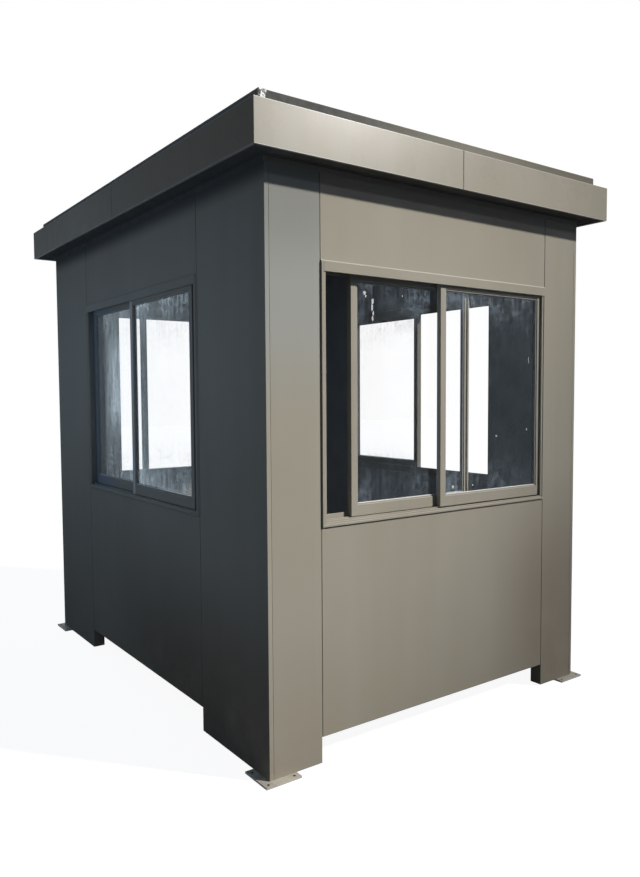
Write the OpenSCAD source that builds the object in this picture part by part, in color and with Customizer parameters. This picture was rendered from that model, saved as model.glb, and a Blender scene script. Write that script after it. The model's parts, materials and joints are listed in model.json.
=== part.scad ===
// Security guard booth: a metal-clad cabin with a flat roof, standing on four bolted feet.
// It has sliding windows on three sides and a half-glazed door in the rear wall.
// Millimetres. +Z is up, the front faces -Y, and the origin is on the ground under the middle.
// Heights named "above the feet" count from the top of the base plates.

/* [Body] */
// Width over the outer faces of the side walls
body_w = 1800; // [1600:10:2400]
// Depth over the outer faces of the front and rear walls
body_d = 2400; // [2000:10:3200]
// Thickness of every wall
wall_t = 60; // [60:1:90]
// Height of the walls above the feet, up to the soffit
wall_h = 2268; // [2220:1:2500]
// Height of the wall panels above the feet
panel_lift = 101; // [80:1:160]

/* [Corner columns] */
// Width of a column on the front and rear walls
column_w = 240; // [180:1:320]
// Width of a column on the side walls
column_d = 530; // [300:1:640]
// Distance of the folded seam from the corner
seam_inset = 18; // [12:1:60]
// Width of a folded seam
seam_w = 1; // [1:0.5:4]
// Depth of a folded seam
seam_depth = 1; // [1:0.5:5]
// Width of the groove between wall pieces
joint_w = 4; // [2:0.5:8]
// Depth of the groove between wall pieces
joint_depth = 6; // [2:1:20]

/* [Feet] */
// Side of a square base plate
plate_size = 155; // [140:1:220]
// Thickness of a base plate
plate_t = 8; // [5:1:16]
// How far a base plate reaches past the walls
plate_reach = 35; // [30:1:60]
// Diameter of an anchor hole
hole_d = 11; // [9:0.5:16]
// Distance of the end holes from the end of the plate
hole_end = 23; // [15:1:40]

/* [Window frames] */
// Height of the window frames above the feet
window_sill = 913; // [800:1:980]
// Height of a window frame
window_h = 1010; // [850:1:1100]
// How far a frame stands out of the wall
frame_proud = 8; // [4:1:14]
// Width of the raised band round a frame's face
frame_band = 9; // [6:0.5:12]
// How far the raised band stands over the rest of the face
frame_step = 3; // [1:0.5:4]
// Width of a jamb's face
jamb_face = 24; // [20:1:40]
// Width of a jamb's web behind its face
jamb_web = 12; // [8:1:18]
// Height of the head's face
head_face = 40; // [30:1:60]
// Thickness of the head's web
head_web = 16; // [8:1:20]
// Thickness of the sill's web
sill_web = 15; // [8:1:18]
// Height of the sill's front lip
sill_lip = 20; // [18:1:24]
// Height of the sill's upstand on the room side
sill_upstand = 42; // [30:1:60]
// Height of a track rib over the sill's web
rib_h = 10; // [8:1:14]
// Width of a track rib
rib_w = 4; // [2:0.5:8]
// Width of the right window's frame
right_window_w = 1236; // [1000:1:1300]
// How much nearer to the front corner the right window starts than the left one
right_window_shift = 36; // [0:1:60]
// How much higher the right window sits than the others
right_window_lift = 26; // [0:1:50]

/* [Sashes] */
// Thickness of a sash
sash_t = 23; // [18:1:23]
// Depth of the outer sash behind the wall's outer face
track_front = 6; // [5:0.5:6]
// Gap between the two sashes of a window
track_gap = 3; // [2:0.5:3]
// Clearance of a sash to the frame's lips and head
sash_play = 2; // [1:0.5:2]
// Clearance of a closed sash to the jamb's web
sash_end_play = 4; // [2:0.5:6]
// Overlap of two closed sashes
sash_overlap = 44; // [38:1:80]
// Width of a sash's stiles
sash_stile = 29; // [24:1:60]
// Height of a sash's bottom rail
sash_bottom = 44; // [36:1:80]
// Height of a sash's top rail
sash_top = 36; // [32:1:60]
// Width of the glazing bead inside a sash
bead_w = 6; // [4:0.5:12]
// Depth of the glazing bead below the sash's faces
bead_drop = 4; // [2:0.5:6]
// Width of the interlock groove in the stile where two sashes meet
interlock_w = 10; // [6:1:14]
// Depth of the interlock groove
interlock_depth = 7; // [4:0.5:9]
// Thickness of the window panes
pane_t = 5; // [4:0.5:6]
// How far the front window's inner sash is slid open
front_inner_slide = 157; // [10:1:400]
// How far the left window's outer sash is slid open
left_outer_slide = 44; // [10:1:300]
// How far the right window's inner sash is short of fully open
right_inner_gap = 20; // [0:1:200]

/* [Door] */
// Width of the door frame
door_w = 830; // [760:1:900]
// Height of the door frame's top above the feet
door_top = 2055; // [2000:1:2120]
// Width of the door frame's face
door_face = 30; // [24:1:45]
// Clearance round the door leaf
door_gap = 5; // [5:0.5:8]
// Thickness of the door leaf
leaf_t = 40; // [30:1:42]
// How far the door stop reaches in behind the leaf
stop_lap = 15; // [10:1:25]
// Width of the leaf's stiles
leaf_stile = 100; // [80:1:130]
// Height of the leaf's top rail
leaf_top_rail = 96; // [80:1:130]
// Height of the leaf's middle rail
leaf_mid_rail = 100; // [80:1:130]
// Height of the leaf's bottom rail
leaf_bottom_rail = 140; // [100:1:180]
// Height of the door glass above the feet
door_glass_sill = 940; // [900:1:1100]
// Thickness of the leaf's lower panel
leaf_panel_t = 22; // [10:1:28]
// Radius of a hinge knuckle
knuckle_r = 7; // [5:0.5:8]
// Length of half a hinge
knuckle_h = 55; // [40:1:80]
// Gap between the two halves of a hinge
hinge_gap = 0.3; // [0.2:0.1:0.5]
// Thickness of a hinge's flaps
flap_t = 4; // [3:0.5:6]
// Width of a hinge's flaps
flap_w = 24; // [18:1:28]
// Distance of the end hinges from the ends of the leaf
hinge_inset = 190; // [120:1:300]
// Height of the door knobs above the feet
knob_h = 1010; // [950:1:1100]
// Radius of a door knob
knob_r = 26; // [20:1:28]
// How far a knob's middle stands off the leaf
knob_reach = 42; // [40:1:65]
// Radius of a knob's neck
neck_r = 11; // [8:0.5:14]
// Radius of a knob's rose
rose_r = 33; // [28:1:34]
// Thickness of a knob's rose
rose_t = 8; // [5:0.5:12]

/* [Floor] */
// Height of the bars under the floor
floor_bar = 40; // [30:1:60]
// Thickness of the floor deck
floor_t = 15; // [10:1:25]
// Number of cross bars under the floor
floor_bars = 3; // [2:1:5]

/* [Roof] */
// How far the roof reaches past the walls
roof_reach = 100; // [80:1:180]
// Height of the roof's fascia
fascia_h = 157; // [120:1:240]
// Thickness of the fascia
fascia_t = 12; // [6:1:20]
// How far the fascia hangs below the soffit
fascia_drop = 8; // [4:1:20]
// Width of the fascia's seam
fascia_seam_w = 2.5; // [1:0.5:5]
// Depth of the fascia's seam
fascia_seam_depth = 2; // [1:0.5:5]
// Thickness of the soffit
soffit_t = 8; // [4:1:14]
// Thickness of the ceiling
ceiling_t = 16; // [15:1:30]
// Thickness of the roof's top panel
cap_t = 50; // [30:1:80]
// How far the top panel is set in from the fascia
cap_inset = 45; // [30:1:70]
// Width of the roof joists
joist_w = 60; // [40:1:80]
// Number of roof joists between the walls
joists = 3; // [2:1:5]

/* [Hidden] */
$fn = 48;
eps = 1;

// Colours
cladding = [0.54, 0.52, 0.47];
dark_metal = [0.26, 0.26, 0.25];
sash_metal = [0.57, 0.55, 0.50];
lining = [0.30, 0.32, 0.34];
primer = [0.74, 0.71, 0.63];
pane_tint = [0.62, 0.68, 0.70, 0.35];
roof_grey = [0.38, 0.37, 0.35];
hardware = [0.20, 0.20, 0.20];

// Heights from the ground
foot_z = plate_t;
panel_z = foot_z + panel_lift;
window_z = foot_z + window_sill;
window_top_z = window_z + window_h;
wall_top_z = foot_z + wall_h;
floor_z = panel_z + floor_bar + floor_t;
soffit_top_z = wall_top_z + soffit_t;
fascia_z = wall_top_z - fascia_drop;
roof_z = fascia_z + fascia_h;

// Walls: the way each one is turned from the front wall, and its distance from the middle
FRONT = [0, body_d / 2];
LEFT = [-90, body_w / 2];
RIGHT = [90, body_w / 2];
REAR = [180, body_d / 2];

// Widths between the columns, and depths of the two columns beside the right window
front_span = body_w - 2 * column_w;
side_span = body_d - 2 * column_d;
front_right_d = column_d - right_window_shift;
rear_right_d = body_d - front_right_d - right_window_w;

// Where a window sits on its wall: along the wall and up
MIDDLE = [0, 0];
RIGHT_WINDOW = [(front_right_d - rear_right_d) / 2, right_window_lift];
room_w = body_w - 2 * wall_t;
room_d = body_d - 2 * wall_t;

// Window frames and sashes, in the depth of the wall from its outer face
outer_y = track_front;
inner_y = track_front + sash_t + track_gap;
face_y = frame_step - frame_proud;
face_back_y = track_front - sash_play;
upstand_y = inner_y + sash_t + sash_play;
sash_z = sill_web + rib_h;
sash_h = window_h - head_web - sash_play - sash_z;
right_inner_slide = open_slide(right_window_w, right_inner_gap);

// Door, along the rear wall as seen from behind the booth
door_x1 = front_span / 2;
door_x0 = door_x1 - door_w;
door_top_z = foot_z + door_top;
leaf_x0 = door_x0 + door_face + door_gap;
leaf_x1 = door_x1 - door_face - door_gap;
leaf_z0 = floor_z + door_gap;
leaf_z1 = door_top_z - door_face - door_gap;
leaf_w = leaf_x1 - leaf_x0;
glass_z0 = foot_z + door_glass_sill;
glass_z1 = leaf_z1 - leaf_top_rail;
hinge_x = leaf_x1 + door_gap / 2;
hinge_y = -(knuckle_r + flap_t / 2);
hinge_zs = [leaf_z0 + hinge_inset, (leaf_z0 + leaf_z1) / 2, leaf_z1 - hinge_inset];
knob_x = leaf_x0 + leaf_stile / 2;

// Puts a shape made for the front wall on another wall. X runs to the right as seen from
// outside, Y runs into the booth from the wall's outer face, and Z is the height from the ground.
module on_wall(wall, at = MIDDLE) {
    rotate([0, 0, wall[0]])
        translate([at[0], -wall[1], at[1]])
            children();
}

// A box from its lowest corner to its highest
module span_box(low, high) {
    translate(low)
        cube(high - low);
}

// A closed loop of bars in plan, w wide inside and d deep inside
module plan_ring(w, d, bar, h) {
    difference() {
        translate([-w / 2 - bar, -d / 2 - bar, 0])
            cube([w + 2 * bar, d + 2 * bar, h]);
        translate([-w / 2, -d / 2, -eps])
            cube([w, d, h + 2 * eps]);
    }
}

// Base plate under the front left column, with an anchor hole at its corner and one at each end
module base_plate() {
    hole_in = plate_reach / 2;
    hole_out = plate_size - hole_end;
    color(primer)
        translate([-body_w / 2 - plate_reach, -body_d / 2 - plate_reach, 0])
            difference() {
                cube([plate_size, plate_size, plate_t]);
                for (at = [[hole_in, hole_in], [hole_out, hole_in], [hole_in, hole_out]])
                    translate([at[0], at[1], -eps])
                        cylinder(d = hole_d, h = plate_t + 2 * eps);
            }
}

// Corner column of the front left corner: an L in plan, with its folded seam beside the corner
module corner_column(depth) {
    color(cladding)
        translate([-body_w / 2, -body_d / 2, foot_z])
            difference() {
                linear_extrude(wall_h)
                    polygon([
                        [0, 0], [column_w, 0], [column_w, wall_t],
                        [wall_t, wall_t], [wall_t, depth], [0, depth]
                    ]);
                translate([seam_inset - seam_w / 2, -eps, -eps])
                    cube([seam_w, seam_depth + eps, wall_h + 2 * eps]);
            }
}

// Puts a front left piece on one of the four corners
module at_corner(right, rear) {
    mirror([right ? 1 : 0, 0, 0])
        mirror([0, rear ? 1 : 0, 0])
            children();
}

// Wall panel between x0 and x1, with a groove down each upright edge
module wall_panel(wall, x0, x1, z0, z1) {
    color(cladding)
        on_wall(wall)
            difference() {
                span_box([x0, 0, z0], [x1, wall_t, z1]);
                for (edge = [x0, x1 - joint_w])
                    translate([edge, -eps, z0 - eps])
                        cube([joint_w, joint_depth + eps, z1 - z0 + 2 * eps]);
            }
}

// Lower and upper panels of a wall with a window
module lower_panel(wall, span, at = MIDDLE) {
    wall_panel(wall, at[0] - span / 2, at[0] + span / 2, panel_z, window_z + at[1]);
}

module upper_panel(wall, span, at = MIDDLE) {
    wall_panel(wall, at[0] - span / 2, at[0] + span / 2, window_top_z + at[1], wall_top_z);
}

// Upright part of a window frame at the left: a face with a raised band, and a web
module window_jamb(span) {
    x0 = -span / 2;
    x1 = x0 + joint_w;
    span_box([x1, -frame_proud, joint_w], [x1 + frame_band, face_back_y, window_h - joint_w]);
    span_box([x1, face_y, joint_w], [x0 + jamb_face, face_back_y, window_h - joint_w]);
    span_box([x0, 0, 0], [x0 + jamb_web, wall_t, window_h]);
}

// Head of a window frame: lips hang down in front of and behind the tops of the sashes
module window_head(span) {
    half = span / 2 - joint_w;
    top = window_h - joint_w;
    face_z = window_h - head_face;
    span_box([-half, -frame_proud, top - frame_band], [half, face_back_y, top]);
    span_box([-half, face_y, face_z], [half, face_back_y, top]);
    span_box([-span / 2, 0, window_h - head_web], [span / 2, wall_t, window_h]);
    span_box([-span / 2, upstand_y, face_z], [span / 2, wall_t, window_h]);
}

// Sill of a window frame: a front lip, a track rib under each sash and an upstand in the room
module window_sill_track(span) {
    half = span / 2 - joint_w;
    span_box([-half, -frame_proud, joint_w], [half, face_back_y, joint_w + frame_band]);
    span_box([-half, face_y, joint_w], [half, face_back_y, sill_lip]);
    span_box([-span / 2, 0, 0], [span / 2, wall_t, sill_web]);
    span_box([-span / 2, upstand_y, 0], [span / 2, wall_t, sill_upstand]);
    for (track_y = [outer_y, inner_y])
        translate([-span / 2, track_y + (sash_t - rib_w) / 2, 0])
            cube([span, rib_w, sash_z]);
}

module window_frame(wall, span, at = MIDDLE) {
    color(sash_metal)
        on_wall(wall, at)
            translate([0, 0, window_z]) {
                window_jamb(span);
                mirror([1, 0, 0])
                    window_jamb(span);
                window_head(span);
                window_sill_track(span);
            }
}

// Sashes: one shuts against the right jamb in the outer track, the other against the left jamb
// in the inner track
function sash_run(span) = span - 2 * (jamb_web + sash_end_play);
function sash_w(span) = (sash_run(span) + sash_overlap) / 2;
function outer_x(span, slide) = sash_run(span) / 2 - sash_w(span) - slide;
function inner_x(span, slide) = slide - sash_run(span) / 2;
function open_slide(span, gap) = sash_run(span) - sash_w(span) - gap;

// Opening of a sash between its stiles and rails, grown or shrunk by a margin
module sash_light(w, y0, y1, margin) {
    span_box([sash_stile - margin, y0, sash_bottom - margin],
        [w - sash_stile + margin, y1, sash_h - sash_top + margin]);
}

// One sash from its lower left corner, with a stepped glazing bead round the pane and an
// interlock groove in its meeting stile, on the face turned to the other sash
module sash(w, meets_right) {
    groove_x = (meets_right ? w - sash_stile / 2 : sash_stile / 2) - interlock_w / 2;
    groove_y = meets_right ? 0 : sash_t - interlock_depth;
    difference() {
        cube([w, sash_t, sash_h]);
        sash_light(w, -eps, sash_t + eps, -bead_w);
        sash_light(w, -eps, bead_drop, 0);
        sash_light(w, sash_t - bead_drop, sash_t + eps, 0);
        translate([groove_x, groove_y - (meets_right ? eps : 0), -eps])
            cube([interlock_w, interlock_depth + eps, sash_h + 2 * eps]);
    }
}

module pane(w) {
    sash_light(w, (sash_t - pane_t) / 2, (sash_t + pane_t) / 2, -bead_w);
}

module outer_place(wall, span, slide, at) {
    on_wall(wall, at)
        translate([outer_x(span, slide), outer_y, window_z + sash_z])
            children();
}

module inner_place(wall, span, slide, at) {
    on_wall(wall, at)
        translate([inner_x(span, slide), inner_y, window_z + sash_z])
            children();
}

module outer_sash(wall, span, slide, at = MIDDLE) {
    color(sash_metal)
        outer_place(wall, span, slide, at)
            sash(sash_w(span), false);
}

module inner_sash(wall, span, slide, at = MIDDLE) {
    color(sash_metal)
        inner_place(wall, span, slide, at)
            sash(sash_w(span), true);
}

module window_glass(wall, span, outer_slide, inner_slide, at = MIDDLE) {
    color(pane_tint) {
        outer_place(wall, span, outer_slide, at)
            pane(sash_w(span));
        inner_place(wall, span, inner_slide, at)
            pane(sash_w(span));
    }
}

// Door frame: jambs and head with a stop behind the leaf, and a threshold up to the floor
module door_frame() {
    color(sash_metal)
        on_wall(REAR)
            difference() {
                span_box([door_x0, 0, panel_z], [door_x1, wall_t, door_top_z]);
                span_box([door_x0 + door_face, -eps, floor_z],
                    [door_x1 - door_face, leaf_t + door_gap, door_top_z - door_face]);
                span_box([door_x0 + door_face + stop_lap, -eps, floor_z],
                    [door_x1 - door_face - stop_lap, wall_t + eps, door_top_z - door_face - stop_lap]);
            }
}

// Door leaf: stiles and three rails round a pane and a lower panel
module door_leaf() {
    color(sash_metal)
        on_wall(REAR)
            difference() {
                span_box([leaf_x0, 0, leaf_z0], [leaf_x1, leaf_t, leaf_z1]);
                span_box([leaf_x0 + leaf_stile, -eps, leaf_z0 + leaf_bottom_rail],
                    [leaf_x1 - leaf_stile, leaf_t + eps, glass_z0 - leaf_mid_rail]);
                span_box([leaf_x0 + leaf_stile, -eps, glass_z0],
                    [leaf_x1 - leaf_stile, leaf_t + eps, glass_z1]);
            }
}

module door_infill(z0, z1, thickness) {
    on_wall(REAR)
        span_box([leaf_x0 + leaf_stile, (leaf_t - thickness) / 2, z0],
            [leaf_x1 - leaf_stile, (leaf_t + thickness) / 2, z1]);
}

module door_panel() {
    color(cladding)
        door_infill(leaf_z0 + leaf_bottom_rail, glass_z0 - leaf_mid_rail, leaf_panel_t);
}

module door_glass() {
    color(pane_tint)
        door_infill(glass_z0, glass_z1, pane_t);
}

// Knob with its rose, standing out of the leaf's face towards -Y
module knob_set() {
    rotate([90, 0, 0]) {
        cylinder(r = rose_r, h = rose_t);
        cylinder(r = neck_r, h = knob_reach);
    }
    translate([0, -knob_reach, 0])
        sphere(r = knob_r);
}

module door_handle() {
    color(hardware)
        on_wall(REAR)
            translate([knob_x, 0, foot_z + knob_h]) {
                knob_set();
                translate([0, leaf_t, 0])
                    mirror([0, 1, 0])
                        knob_set();
            }
}

// Half of each hinge: a knuckle on the axis and a flap on the frame or on the leaf
module hinge_halves(z_offset, flap_x0, flap_x1) {
    color(hardware)
        on_wall(REAR)
            for (z = hinge_zs) {
                translate([hinge_x, hinge_y, z + z_offset])
                    cylinder(r = knuckle_r, h = knuckle_h);
                span_box([flap_x0, -flap_t, z + z_offset], [flap_x1, 0, z + z_offset + knuckle_h]);
            }
}

module door_hinge_pins() {
    hinge_halves(-knuckle_h - hinge_gap, hinge_x, hinge_x + flap_w);
}

module door_hinge_sleeves() {
    hinge_halves(0, hinge_x - flap_w, hinge_x);
}

// Bars under the floor: a ring along the walls and cross bars between its long sides
module floor_frame() {
    clear_w = room_w - 2 * floor_bar;
    clear_d = room_d - 2 * floor_bar;
    pitch = room_d / (floor_bars + 1);
    color(dark_metal)
        translate([0, 0, panel_z]) {
            plan_ring(clear_w, clear_d, floor_bar, floor_bar);
            for (i = [1 : floor_bars])
                translate([-room_w / 2, -room_d / 2 + i * pitch - floor_bar / 2, 0])
                    cube([room_w, floor_bar, floor_bar]);
        }
}

module floor_deck() {
    color(dark_metal)
        translate([-room_w / 2, -room_d / 2, panel_z + floor_bar])
            cube([room_w, room_d, floor_t]);
}

module ceiling() {
    color(lining)
        translate([-room_w / 2, -room_d / 2, soffit_top_z - ceiling_t])
            cube([room_w, room_d, ceiling_t]);
}

// Soffit: a ring on top of the walls, out to the fascia
module soffit() {
    color(dark_metal)
        translate([0, 0, wall_top_z])
            plan_ring(room_w, room_d, wall_t + roof_reach - fascia_t, soffit_t);
}

// Roof joists: a ring over the walls and joists across the room
module roof_frame() {
    joist_h = roof_z - soffit_top_z;
    pitch = room_d / (joists + 1);
    color(dark_metal)
        translate([0, 0, soffit_top_z]) {
            plan_ring(room_w, room_d, wall_t, joist_h);
            for (i = [1 : joists])
                translate([-room_w / 2 - wall_t / 2, -room_d / 2 + i * pitch - joist_w / 2, 0])
                    cube([room_w + wall_t, joist_w, joist_h]);
        }
}

// Board with mitred ends, length long at its outer edge and depth wide
module mitred_board(length, depth, h) {
    linear_extrude(h)
        polygon([
            [-length / 2, 0], [length / 2, 0],
            [length / 2 - depth, depth], [-length / 2 + depth, depth]
        ]);
}

// Fascia of one side: an upright face folded in over the roof, with a seam at mid length
module fascia(wall, length) {
    color(cladding)
        on_wall(wall)
            translate([0, -roof_reach, fascia_z])
                difference() {
                    union() {
                        mitred_board(length, fascia_t, fascia_h);
                        translate([0, 0, fascia_h - fascia_t])
                            mitred_board(length, roof_reach, fascia_t);
                    }
                    translate([-fascia_seam_w / 2, -eps, -eps])
                        cube([fascia_seam_w, fascia_seam_depth + eps, fascia_h + 2 * eps]);
                }
}

module roof_cap() {
    cap_w = body_w + 2 * (roof_reach - cap_inset);
    cap_d = body_d + 2 * (roof_reach - cap_inset);
    color(roof_grey)
        translate([-cap_w / 2, -cap_d / 2, roof_z])
            cube([cap_w, cap_d, cap_t]);
}

at_corner(false, false) base_plate();  // base_plate_front_left
at_corner(true, false) base_plate();  // base_plate_front_right
at_corner(false, true) base_plate();  // base_plate_rear_left
at_corner(true, true) base_plate();  // base_plate_rear_right
at_corner(false, false) corner_column(column_d);  // corner_column_front_left
at_corner(true, false) corner_column(front_right_d);  // corner_column_front_right
at_corner(false, true) corner_column(column_d);  // corner_column_rear_left
at_corner(true, true) corner_column(rear_right_d);  // corner_column_rear_right
lower_panel(FRONT, front_span);  // front_lower_panel
upper_panel(FRONT, front_span);  // front_upper_panel
lower_panel(LEFT, side_span);  // left_lower_panel
upper_panel(LEFT, side_span);  // left_upper_panel
lower_panel(RIGHT, right_window_w, RIGHT_WINDOW);  // right_lower_panel
upper_panel(RIGHT, right_window_w, RIGHT_WINDOW);  // right_upper_panel
wall_panel(REAR, -front_span / 2, door_x0, panel_z, wall_top_z);  // rear_side_panel
wall_panel(REAR, door_x0, door_x1, door_top_z, wall_top_z);  // rear_header_panel
window_frame(FRONT, front_span);  // front_window_frame
outer_sash(FRONT, front_span, 0);  // front_outer_sash
inner_sash(FRONT, front_span, front_inner_slide);  // front_inner_sash
window_glass(FRONT, front_span, 0, front_inner_slide);  // front_window_glass
window_frame(LEFT, side_span);  // left_window_frame
outer_sash(LEFT, side_span, left_outer_slide);  // left_outer_sash
inner_sash(LEFT, side_span, 0);  // left_inner_sash
window_glass(LEFT, side_span, left_outer_slide, 0);  // left_window_glass
window_frame(RIGHT, right_window_w, RIGHT_WINDOW);  // right_window_frame
outer_sash(RIGHT, right_window_w, 0, RIGHT_WINDOW);  // right_outer_sash
inner_sash(RIGHT, right_window_w, right_inner_slide, RIGHT_WINDOW);  // right_inner_sash
window_glass(RIGHT, right_window_w, 0, right_inner_slide, RIGHT_WINDOW);  // right_window_glass
door_frame();
door_leaf();
door_panel();
door_glass();
door_handle();
door_hinge_pins();
door_hinge_sleeves();
floor_frame();
floor_deck();
ceiling();
soffit();
roof_frame();
fascia(FRONT, body_w + 2 * roof_reach);  // fascia_front
fascia(REAR, body_w + 2 * roof_reach);  // fascia_rear
fascia(LEFT, body_d + 2 * roof_reach);  // fascia_left
fascia(RIGHT, body_d + 2 * roof_reach);  // fascia_right
roof_cap();
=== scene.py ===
"""Looks of the security guard booth: finishes, seals and trim, light and camera."""
import json
import math

import bmesh
import bpy
from mathutils import Matrix, Vector, noise


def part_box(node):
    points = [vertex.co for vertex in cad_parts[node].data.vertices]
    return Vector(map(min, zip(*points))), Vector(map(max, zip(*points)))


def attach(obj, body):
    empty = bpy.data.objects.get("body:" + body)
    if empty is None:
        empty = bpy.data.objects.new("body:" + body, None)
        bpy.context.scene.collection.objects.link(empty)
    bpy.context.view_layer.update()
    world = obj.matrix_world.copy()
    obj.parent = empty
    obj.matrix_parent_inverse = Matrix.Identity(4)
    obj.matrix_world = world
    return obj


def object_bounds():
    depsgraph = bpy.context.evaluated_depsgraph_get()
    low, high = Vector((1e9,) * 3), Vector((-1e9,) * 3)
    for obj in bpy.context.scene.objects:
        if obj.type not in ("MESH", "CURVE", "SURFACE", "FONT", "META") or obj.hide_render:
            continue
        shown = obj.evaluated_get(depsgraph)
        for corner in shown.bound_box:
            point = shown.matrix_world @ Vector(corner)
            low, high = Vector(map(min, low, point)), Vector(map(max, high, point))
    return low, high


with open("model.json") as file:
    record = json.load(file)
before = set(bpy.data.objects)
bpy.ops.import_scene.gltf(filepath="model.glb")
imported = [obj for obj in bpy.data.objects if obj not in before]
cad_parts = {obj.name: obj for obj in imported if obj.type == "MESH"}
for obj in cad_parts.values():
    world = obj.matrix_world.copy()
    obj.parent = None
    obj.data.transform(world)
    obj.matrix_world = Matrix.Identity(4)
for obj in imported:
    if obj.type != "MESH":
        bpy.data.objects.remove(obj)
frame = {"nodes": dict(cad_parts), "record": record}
cad_low, cad_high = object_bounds()
NODES = frame["nodes"]

X = Vector((1, 0, 0))
Y = Vector((0, 1, 0))
Z = Vector((0, 0, 1))

# Camera, fitted to the photograph's frame of 640 x 877 pixels
FRAME_LONG_SIDE_PX = 877
FOCAL_LENGTH_PX = 755.5
SENSOR_MM = 36.0
CAMERA_PLACE = Vector((-2.3326, -3.5040, 1.4263))
CAMERA_HEADING = 35.93
CAMERA_TILT = -3.25
CAMERA_ROLL = -0.34

# Light
SUN_TOWARDS = Vector((0.84, -1.00, 0.95))
SUN_STRENGTH = 1.95
SUN_ANGLE = 2.5
KEY_AIM = Vector((-0.56, -1.20, 1.48))
KEY_DISTANCE = 30.0
KEY_RADIUS = 1.85
KEY_BLEND = 1.0
KEY_STRENGTH = 3.3
HAZE_TOWARDS = Vector((0.632, -0.743, 0.425))
HAZE_COLOUR = (0.76, 0.82, 1.0)
HAZE_STRENGTH = 4.35
HAZE_ANGLE = 4.0
FILL_COLOUR = (0.44, 0.65, 1.0)
FILL_LEFT = {"place": Vector((-2.05, 0.45, 1.6)), "towards": -X, "size": (3.2, 0.4), "power": 6.0}
FILL_REAR = {"place": Vector((0.2, 3.6, 1.7)), "towards": Y, "size": (3.0, 1.0), "power": 14.0}
SKY_COLOUR = (0.48, 0.69, 1.0)
SKY_STRENGTH = 0.14
FLOOR_SIZE = 60.0
FLOOR_GLOW = 0.93
FLOOR_BOUNCE = (0.17, 0.19, 0.215)
FLOOR_TONE = (0.20, 0.20, 0.20)

# Sizes that the frame's boxes don't give, in metres
WALL = 0.060
SASH_T = 0.023
SASH_STILE = 0.029
SASH_BOTTOM = 0.044
SASH_TOP = 0.036
BEAD_W = 0.006
BEAD_DROP = 0.004
PANE_T = 0.005
CORNER_STRIP = 0.018
JOINT_W = 0.004
JOINT_DEPTH = 0.006
SEAM_W = 0.0025
SEAM_DEPTH = 0.002
FRAME_PROUD = 0.008
FRAME_BAND = 0.009
FRAME_STEP = 0.003
HEAD_FACE = 0.040
DOOR_SEAL_DEPTH = 0.012
RIM = 0.003
TRIM_DROP = 0.004
STRIP_DROP = 0.21
TINY = 0.0005

# Rounding of edges: in metres, and the angle in degrees from which a corner is rounded
FASCIA_EDGE = 0.0028
EDGES = {"cladding": 0.0007, "window_metal": 0.0008, "dark_steel": 0.0010, "roof_sheet": 0.0040,
         "floor_sheet": 0.0010, "lining": 0.0010}
SHARP_ANGLE = 40
WELD = 0.00005

wall_corner, column_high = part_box("corner_column_front_left")
wall_x = -wall_corner.x
wall_y = -wall_corner.y
room_x = wall_x - WALL
room_y = wall_y - WALL
wall_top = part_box("front_upper_panel")[1].z

# What facing() passes on a face that looks along an axis, and on one that leans that way
MOSTLY = 0.5
PARTLY = 0.3

# Heights, or places along X or Y, where dirt, film, painted shade and painted reflections set in and where
# they are full
EAVES_SHADE = (wall_top - 0.118, wall_top - 0.030)
# Painted sky reflection on the near column: heights where it sets in, and where it turns darker
REFLECTION_RISE = (1.30, 1.75)
REFLECTION_DARKENS = (1.80, 2.12)
# Painted shade: low on the side walls and side fascias, more towards the front, and at the front's lower
# right
SIDE_SHADE_FALL = (0.90, 0.10)
SIDE_SHADE_NEAR = (0.60, -0.50)
FRONT_SHADE_FALL = (1.15, 0.50)
FRONT_SHADE_RIGHT = (0.20, 0.65)
# Dust low down, with a painted ground reflection in its colour
DUST_AND_REFLECTION_FALL = (0.55, 0.05)
# Painted shade in the left window's recess: across the wall's depth and towards the far end
RECESS_IN = (-wall_x, 0.018 - wall_x)
RECESS_FAR = (0.30, 0.50)
PANE_FAR = (0.16, 0.30)
SMEAR_EDGE = (0.28, 0.31)
SMEAR_NEAR = (0.60, 0.34)
SMEAR_RISE = (1.18, 1.40)
SMEAR_TOP = (1.80, 1.62)
SPLASHED_FALL = (1.12, 1.02)
CLEAN_FALL = (1.22, 1.02)
VEIL_NEAR = (0.54, 0.36)
ROOF_EDGE_LEFT = (-0.75, 0.1)
ROOF_EDGE_RIGHT = (0.1, 0.65)

# The same as distances: from a pane's middle, a pane's far end, the floor's middle and a lap joint
PANE_ENDS = (0.25, 0.46)
CAKED = (0.13, 0.06)
FLOOR_WORN = (1.6, 0.2)
LAP_EDGE = (0.012, 0.004)
HALF_SHEET = 0.5

# Colours in linear light, a pair where a pattern blends two
TAUPE = ((0.276, 0.246, 0.192), (0.300, 0.270, 0.214))
TAUPE_STREAK = (0.320, 0.292, 0.236)
TAUPE_FLAKE = (0.40, 0.375, 0.32)
# Painted highlight on the corner strips
CORNER_STRIP_HIGHLIGHT = (0.40, 0.37, 0.31)
# Painted highlight along the fascia's folded rims
RIM_HIGHLIGHT = (0.44, 0.415, 0.36)
# Painted shade under the side eaves
EAVES_PAINTED_SHADE = (0.085, 0.080, 0.070)
# Painted bluish sky reflection on the near column, darker near the top
COLUMN_SKY_REFLECTION = ((0.268, 0.283, 0.265), (0.191, 0.203, 0.193))
# Painted shade low on the sides and at the front's lower right
LOW_PAINTED_SHADE = (0.118, 0.079, 0.050)
# Dust mixed with a painted ground reflection
WALL_DUST_AND_REFLECTION = (0.285, 0.243, 0.180)
WALL_LINING = ((0.306, 0.298, 0.280), (0.346, 0.339, 0.318))
POWDER_COAT = ((0.288, 0.258, 0.204), (0.314, 0.284, 0.228))
RUB_MARK = (0.225, 0.198, 0.158)
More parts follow.
